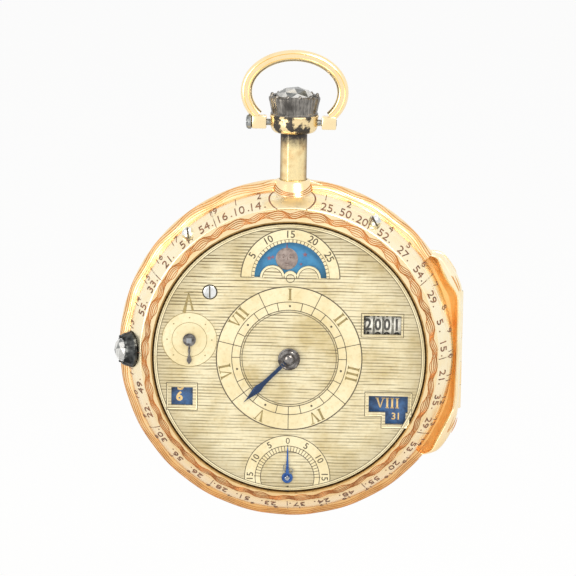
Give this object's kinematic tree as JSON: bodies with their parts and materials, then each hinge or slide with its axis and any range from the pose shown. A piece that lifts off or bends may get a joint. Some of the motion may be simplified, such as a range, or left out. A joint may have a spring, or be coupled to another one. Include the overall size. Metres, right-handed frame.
{
  "type": "calendar pocket watch",
  "caption": "Gold pocket watch whose dial is a calendar, with windows for date, month, year and moon, a jewelled push-piece and pendant, and a bow.",
  "frame": {"origin": "middle of the flat on the back cover", "axes": "+Z towards twelve o'clock and the bow, +X towards three o'clock, -Y out of the dial"},
  "size_m": [0.0623, 0.0211, 0.0835],
  "materials": {
    "gold": "polished, worn",
    "orange_gold": "satin",
    "dial_silver": "fine engraved lines, silver gilt",
    "silver": "oxidised silver",
    "white_steel": "polished",
    "blued_steel": "blued",
    "steel": "ground",
    "brass": "gilt, matt",
    "blue_enamel": "enamel",
    "moon_enamel": "enamel",
    "stone": "cut and polished",
    "dark_steel": "dark"
  },
  "bodies": {
    "case": {"case_band": "gold", "bezel": "gold", "bezel_screws": "white_steel", "pendant_neck": "gold", "cover_hinge_pin": "steel", "lock_spring": "steel", "pendant_spring": "steel", "spring_bracket": "steel", "dial_plate": "dial_silver", "dial_key": "dark_steel", "dial_screw": "white_steel", "calendar_studs": "steel", "jumper_springs": "steel", "year_drum_frame": "steel", "pillar_plate": "brass", "back_plate": "brass", "pillars": "brass", "inner_screws": "steel", "click": "steel", "hairspring": "blued_steel", "balance_cock": "brass"},
    "cover": {"back_cover": "gold"},
    "push_piece": {"push_collet": "silver", "push_stone": "stone"},
    "pendant": {"pendant_stem": "gold", "pendant_collar": "orange_gold", "pendant_collet": "silver", "pendant_stone": "stone", "bow_pin": "steel"},
    "bow_body": {"bow": "gold"},
    "weekday": {"weekday_wheel": "brass", "weekday_hand": "blued_steel", "weekday_cap": "white_steel"},
    "setting": {"setting_arbor": "steel", "setting_pointer": "steel"},
    "equation": {"equation_arbor": "steel", "equation_hand": "blued_steel"},
    "rack": {"equation_rack": "steel"},
    "moon_phase": {"moon_wheel": "brass", "moon_disc": "blue_enamel", "moons": "moon_enamel"},
    "date": {"date_wheel": "brass", "date_disc": "blue_enamel"},
    "month": {"month_star_and_cam": "steel", "month_disc": "blue_enamel"},
    "drum_thousands": {"year_drum_thousands": "silver"},
    "drum_hundreds": {"year_drum_hundreds": "silver"},
    "drum_tens": {"year_drum_tens": "silver"},
    "drum_units": {"year_drum_units": "silver"},
    "day": {"day_wheel": "brass"},
    "date_idler_body": {"date_idler": "brass"},
    "moon_idler_body": {"moon_idler": "brass"},
    "calendar_drive": {"calendar_pinion": "steel"},
    "barrel_body": {"barrel": "brass"},
    "winding": {"barrel_arbor_and_ratchet": "steel"},
    "second": {"second_wheel": "brass"},
    "third": {"third_wheel": "brass"},
    "fourth": {"fourth_wheel": "brass"},
    "escape": {"escape_wheel": "brass"},
    "balance_body": {"balance": "brass"}
  },
  "joints": [
    {"name": "cover_open", "type": "hinge", "parent": "case", "child": "cover", "pos_m": [0.03, -0.008, 0], "axis": [0, 0, -1], "range_deg": [0, 90]},
    {"name": "push_press", "type": "slide", "parent": "case", "child": "push_piece", "axis": [0.9272, 0.3746, 0], "range_m": [0, 0.0005], "stiffness_N_per_m": 1000, "springref_m": -0.0005},
    {"name": "pendant_press", "type": "slide", "parent": "case", "child": "pendant", "axis": [0, 0, -1], "range_m": [0, 0.004], "stiffness_N_per_m": 500, "springref_m": -0.002, "deforming": ["pendant_spring"]},
    {"name": "bow_swing", "type": "hinge", "parent": "pendant", "child": "bow_body", "pos_m": [0, -0.0107, 0.0407], "axis": [1, 0, 0], "range_deg": [-90, 90]},
    {"name": "day_spin", "type": "hinge", "parent": "case", "child": "day", "pos_m": [-0.00756, -0.015, 0.00133], "axis": [0, -1, 0], "continuous": true},
    {"name": "weekday_spin", "type": "hinge", "parent": "case", "child": "weekday", "pos_m": [0, -0.015, 0], "axis": [0, -1, 0], "continuous": true},
    {"name": "date_idler_spin", "type": "hinge", "parent": "case", "child": "date_idler_body", "pos_m": [-0.01232, -0.015, 0.00068], "axis": [0, -1, 0], "continuous": true},
    {"name": "date_spin", "type": "hinge", "parent": "case", "child": "date", "pos_m": [-0.0094, -0.015, -0.0072], "axis": [0, -1, 0], "continuous": true},
    {"name": "moon_idler_spin", "type": "hinge", "parent": "case", "child": "moon_idler_body", "pos_m": [-0.00599, -0.015, 0.00922], "axis": [0, -1, 0], "continuous": true},
    {"name": "moon_spin", "type": "hinge", "parent": "case", "child": "moon_phase", "pos_m": [0, -0.015, 0.0144], "axis": [0, -1, 0], "continuous": true},
    {"name": "calendar_drive_spin", "type": "hinge", "parent": "case", "child": "calendar_drive", "pos_m": [-0.0092, -0.015, -0.00318], "axis": [0, -1, 0], "continuous": true},
    {"name": "rack_swing", "type": "hinge", "parent": "case", "child": "rack", "pos_m": [-0.00482, -0.015, -0.01462], "axis": [0, -1, 0], "range_deg": [-13.33, 13.33]},
    {"name": "equation_hand_swing", "type": "hinge", "parent": "case", "child": "equation", "pos_m": [0, -0.015, -0.0215], "axis": [0, -1, 0], "range_deg": [-80, 80]},
    {"name": "month_spin", "type": "hinge", "parent": "case", "child": "month", "pos_m": [0.01, -0.015, -0.0079], "axis": [0, -1, 0], "continuous": true},
    {"name": "setting_spin", "type": "hinge", "parent": "case", "child": "setting", "pos_m": [-0.0176, -0.015, 0.003], "axis": [0, -1, 0], "continuous": true},
    {"name": "drum_thousands_spin", "type": "hinge", "parent": "case", "child": "drum_thousands", "pos_m": [0.0138, -0.01485, 0.00625], "axis": [1, 0, 0], "continuous": true},
    {"name": "drum_hundreds_spin", "type": "hinge", "parent": "case", "child": "drum_hundreds", "pos_m": [0.0155, -0.01485, 0.00625], "axis": [1, 0, 0], "continuous": true},
    {"name": "drum_tens_spin", "type": "hinge", "parent": "case", "child": "drum_tens", "pos_m": [0.0171, -0.01485, 0.00625], "axis": [1, 0, 0], "continuous": true},
    {"name": "drum_units_spin", "type": "hinge", "parent": "case", "child": "drum_units", "pos_m": [0.0188, -0.01485, 0.00625], "axis": [1, 0, 0], "continuous": true},
    {"name": "fourth_spin", "type": "hinge", "parent": "case", "child": "fourth", "pos_m": [0.00631, -0.009, -0.00547], "axis": [0, -1, 0], "continuous": true},
    {"name": "third_spin", "type": "hinge", "parent": "case", "child": "third", "pos_m": [0.00271, -0.009, -0.00976], "axis": [0, -1, 0], "continuous": true},
    {"name": "second_spin", "type": "hinge", "parent": "case", "child": "second", "pos_m": [-0.00466, -0.009, -0.01106], "axis": [0, -1, 0], "continuous": true},
    {"name": "barrel_spin", "type": "hinge", "parent": "case", "child": "barrel_body", "pos_m": [-0.0092, -0.009, -0.00318], "axis": [0, -1, 0], "continuous": true},
    {"name": "escape_spin", "type": "hinge", "parent": "case", "child": "escape", "pos_m": [0.00547, -0.009, -0.00068], "axis": [0, -1, 0], "continuous": true},
    {"name": "winding_spin", "type": "hinge", "parent": "case", "child": "winding", "pos_m": [-0.0092, -0.009, -0.00318], "axis": [0, -1, 0], "continuous": true},
    {"name": "balance_swing", "type": "hinge", "parent": "case", "child": "balance_body", "pos_m": [0.00424, -0.009, 0.0027], "axis": [0, -1, 0], "range_deg": [-135, 135]}
  ],
  "couplings": [
    {"joint": "weekday_spin", "follows": "day_spin", "ratio": -0.14286},
    {"joint": "date_idler_spin", "follows": "day_spin", "ratio": -0.25},
    {"joint": "date_spin", "follows": "day_spin", "ratio": 0.032258},
    {"joint": "moon_idler_spin", "follows": "day_spin", "ratio": -0.13559},
    {"joint": "moon_spin", "follows": "day_spin", "ratio": 0.016949},
    {"joint": "calendar_drive_spin", "follows": "day_spin", "ratio": -4},
    {"joint": "equation_hand_swing", "follows": "rack_swing", "ratio": -6},
    {"joint": "third_spin", "follows": "fourth_spin", "ratio": -0.16667},
    {"joint": "second_spin", "follows": "fourth_spin", "ratio": 0.022222},
    {"joint": "barrel_spin", "follows": "fourth_spin", "ratio": -0.0037037},
    {"joint": "escape_spin", "follows": "fourth_spin", "ratio": -8}
  ]
}
